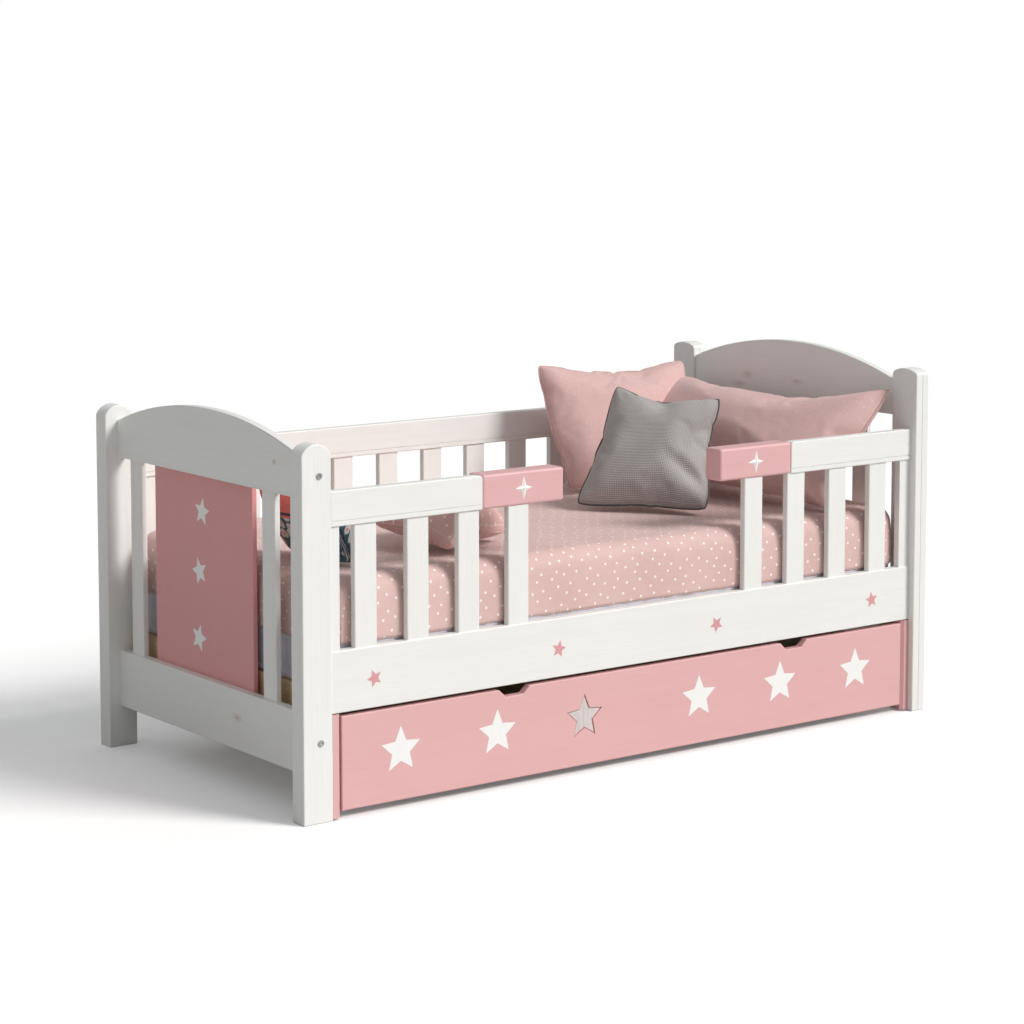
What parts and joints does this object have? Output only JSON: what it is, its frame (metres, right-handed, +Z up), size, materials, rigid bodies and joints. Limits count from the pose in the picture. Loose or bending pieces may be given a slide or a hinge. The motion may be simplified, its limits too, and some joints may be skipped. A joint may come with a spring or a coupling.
{
  "type": "toddler bed",
  "caption": "Low child's bed with arched ends, guard rails on both sides with a gap to climb in, star panels, bedding and a drawer on castors underneath.",
  "frame": {"origin": "on the floor, in the middle of the bed's length and width", "axes": "+X towards the head end, -Y out of the open side with the drawer, +Z up"},
  "size_m": [1.722, 0.878, 0.844],
  "materials": {
    "white_lacquer": "satin white lacquer with the grain just showing",
    "pink_lacquer": "satin pink lacquer",
    "white_inlay": "satin white lacquer",
    "pink_inlay": "satin pink lacquer",
    "pale_timber": "planed pine, waxed",
    "plywood": "birch plywood",
    "zinc_steel": "zinc plated",
    "castor_plastic": "moulded nylon",
    "mattress_cover": "quilted jersey",
    "sheet_cotton": "brushed cotton with small white dots",
    "pillow_cotton": "cotton with sparse white dots",
    "grey_knit": "ribbed knit",
    "print_cotton": "printed cotton"
  },
  "bodies": {
    "bed": {"foot_post_front": "white_lacquer", "foot_post_rear": "white_lacquer", "head_post_front": "white_lacquer", "head_post_rear": "white_lacquer", "foot_arch": "white_lacquer", "foot_rail": "white_lacquer", "foot_slats": "white_lacquer", "head_arch": "white_lacquer", "head_rail": "white_lacquer", "head_slats": "white_lacquer", "front_side_rail": "white_lacquer", "rear_side_rail": "white_lacquer", "foot_guard_rail": "white_lacquer", "foot_guard_slats": "white_lacquer", "head_guard_rail": "white_lacquer", "head_guard_slats": "white_lacquer", "rear_guard_rail": "white_lacquer", "rear_guard_slats": "white_lacquer", "foot_star_panel": "pink_lacquer", "head_star_panel": "pink_lacquer", "foot_guard_cap": "pink_lacquer", "head_guard_cap": "pink_lacquer", "foot_batten": "pink_lacquer", "head_batten": "pink_lacquer", "foot_panel_stars": "white_inlay", "head_panel_stars": "white_inlay", "guard_cap_stars": "white_inlay", "front_rail_stars": "pink_inlay", "front_ledger": "pale_timber", "rear_ledger": "pale_timber", "end_bearers": "pale_timber", "base_slats": "pale_timber", "joint_dowels": "pale_timber", "end_bolts": "zinc_steel", "barrel_nuts": "zinc_steel", "corner_brackets": "zinc_steel", "bracket_screws": "zinc_steel", "panel_screws": "zinc_steel", "base_slat_screws": "zinc_steel", "ledger_screws": "zinc_steel", "mattress": "mattress_cover", "fitted_sheet": "sheet_cotton", "head_pillow": "pillow_cotton", "back_pillow": "pillow_cotton", "small_pillow": "pillow_cotton", "knit_cushion": "grey_knit", "patterned_cushion": "print_cotton"},
    "drawer": {"drawer_front": "pink_lacquer", "drawer_stars": "white_inlay", "drawer_sunk_star": "white_inlay", "drawer_side_foot": "white_lacquer", "drawer_side_head": "white_lacquer", "drawer_back": "white_lacquer", "drawer_bottom": "plywood", "castor_forks": "zinc_steel", "castor_axles": "zinc_steel", "castor_screws": "zinc_steel"},
    "wheel_front_foot": {"drawer_wheel_front_foot": "castor_plastic"},
    "wheel_front_head": {"drawer_wheel_front_head": "castor_plastic"},
    "wheel_rear_foot": {"drawer_wheel_rear_foot": "castor_plastic"},
    "wheel_rear_head": {"drawer_wheel_rear_head": "castor_plastic"}
  },
  "joints": [
    {"name": "drawer_slide", "type": "slide", "parent": "bed", "child": "drawer", "axis": [0, -1, 0], "range_m": [0, 0.6]},
    {"name": "wheel_spin_front_foot", "type": "hinge", "parent": "drawer", "child": "wheel_front_foot", "pos_m": [-0.628, -0.342, 0.018], "axis": [1, 0, 0], "continuous": true},
    {"name": "wheel_spin_front_head", "type": "hinge", "parent": "drawer", "child": "wheel_front_head", "pos_m": [0.658, -0.342, 0.018], "axis": [1, 0, 0], "continuous": true},
    {"name": "wheel_spin_rear_foot", "type": "hinge", "parent": "drawer", "child": "wheel_rear_foot", "pos_m": [-0.628, 0.238, 0.018], "axis": [1, 0, 0], "continuous": true},
    {"name": "wheel_spin_rear_head", "type": "hinge", "parent": "drawer", "child": "wheel_rear_head", "pos_m": [0.658, 0.238, 0.018], "axis": [1, 0, 0], "continuous": true}
  ],
  "couplings": [
    {"joint": "wheel_spin_front_foot", "follows": "drawer_slide", "rad_per_m": 55.556},
    {"joint": "wheel_spin_front_head", "follows": "drawer_slide", "rad_per_m": 55.556},
    {"joint": "wheel_spin_rear_foot", "follows": "drawer_slide", "rad_per_m": 55.556},
    {"joint": "wheel_spin_rear_head", "follows": "drawer_slide", "rad_per_m": 55.556}
  ]
}
